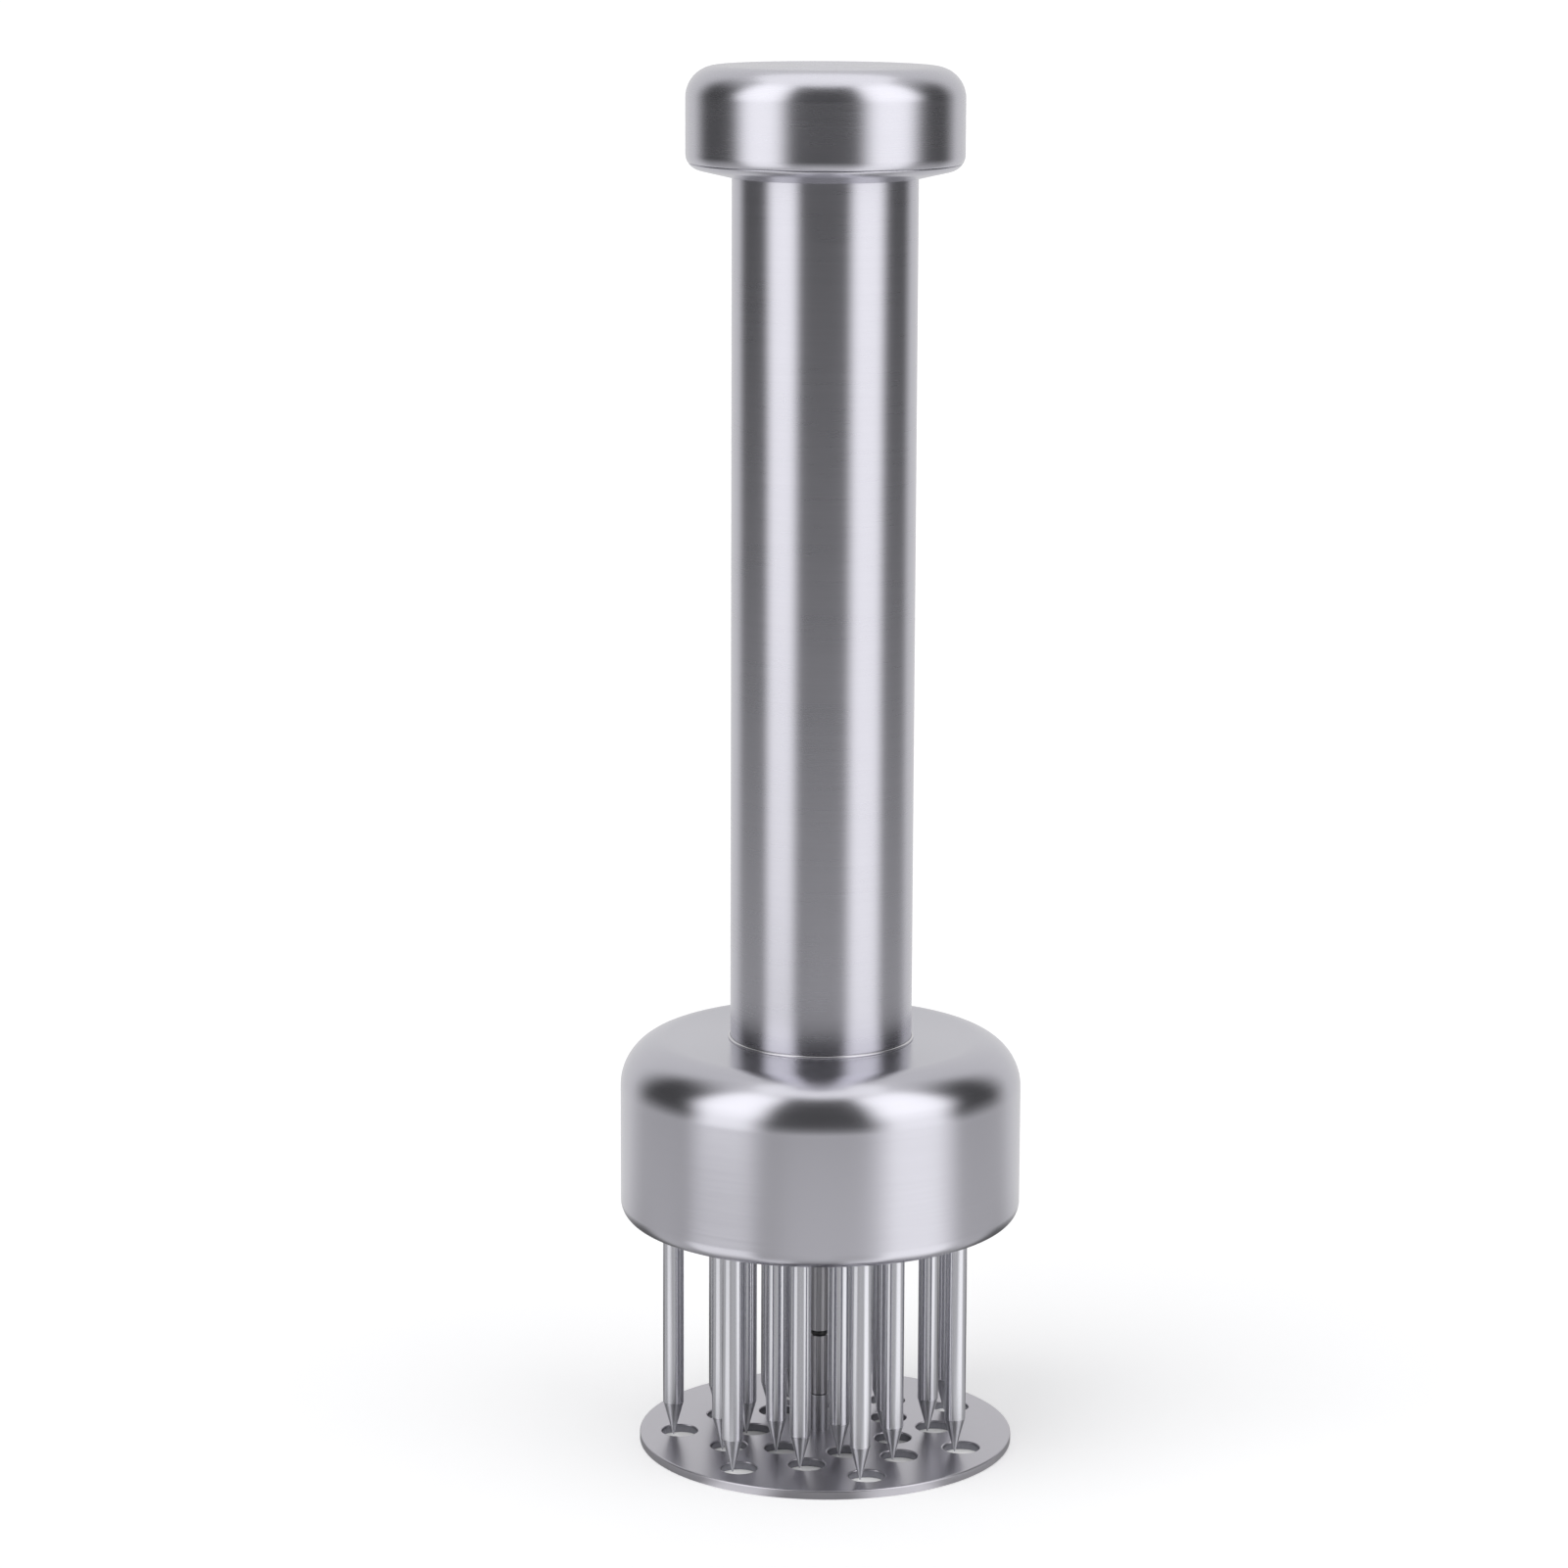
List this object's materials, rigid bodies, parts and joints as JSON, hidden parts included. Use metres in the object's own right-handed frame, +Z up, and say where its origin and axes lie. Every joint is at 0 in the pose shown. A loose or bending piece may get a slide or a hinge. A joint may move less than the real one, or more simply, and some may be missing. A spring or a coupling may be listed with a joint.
{
  "type": "meat tenderizer",
  "caption": "Hand meat tenderizer: round pointed needles under a bell on a hollow metal handle with a knob, and a spring-loaded foot plate that slides up the needles.",
  "frame": {"origin": "middle of the foot plate's underside, where the tool stands", "axes": "+Z up along the handle; -Y is the front, which the picture shows"},
  "size_m": [0.0575, 0.0574, 0.1983],
  "materials": {
    "satin_steel": "satin, fine lines round the axis",
    "plate_steel": "satin sheet",
    "polished_steel": "polished",
    "matt_steel": "matt turned",
    "plain_steel": "turned",
    "spring_steel": "drawn wire",
    "alloy": "turned",
    "bearing_brass": "turned",
    "black_rubber": "moulded",
    "white_nylon": "moulded"
  },
  "bodies": {
    "handle": {"knob_cap": "satin_steel", "knob_base": "satin_steel", "handle_tube": "satin_steel", "bell_housing": "satin_steel", "needle_plate": "plate_steel", "seam_ring": "polished_steel", "needle_01": "polished_steel", "needle_02": "polished_steel", "needle_03": "polished_steel", "needle_04": "polished_steel", "needle_05": "polished_steel", "needle_06": "polished_steel", "needle_07": "polished_steel", "needle_08": "polished_steel", "needle_09": "polished_steel", "needle_10": "polished_steel", "needle_11": "polished_steel", "needle_12": "polished_steel", "needle_13": "polished_steel", "needle_14": "polished_steel", "needle_15": "polished_steel", "needle_16": "polished_steel", "needle_17": "polished_steel", "needle_18": "polished_steel", "needle_19": "polished_steel", "needle_20": "polished_steel", "needle_21": "polished_steel", "knob_stud": "plain_steel", "tube_top_plug": "plain_steel", "spring_seat": "plain_steel", "tube_foot_plug": "plain_steel", "tie_bolt": "plain_steel", "plate_screws": "plain_steel", "return_spring": "spring_steel", "knob_core": "alloy", "lower_bush": "bearing_brass", "upper_bush": "bearing_brass", "bumper": "black_rubber", "backing_block": "white_nylon"},
    "plunger": {"foot_plate": "plate_steel", "foot_boss": "matt_steel", "guide_rod": "polished_steel", "rod_ring": "black_rubber", "stop_washer": "plain_steel", "rod_nuts": "plain_steel", "spring_piston": "white_nylon"}
  },
  "joints": [
    {"name": "foot_slide", "type": "slide", "parent": "handle", "child": "plunger", "axis": [0, 0, 1], "range_m": [0, 0.026], "stiffness_N_per_m": 540, "springref_m": -0.02, "deforming": ["return_spring"]}
  ]
}
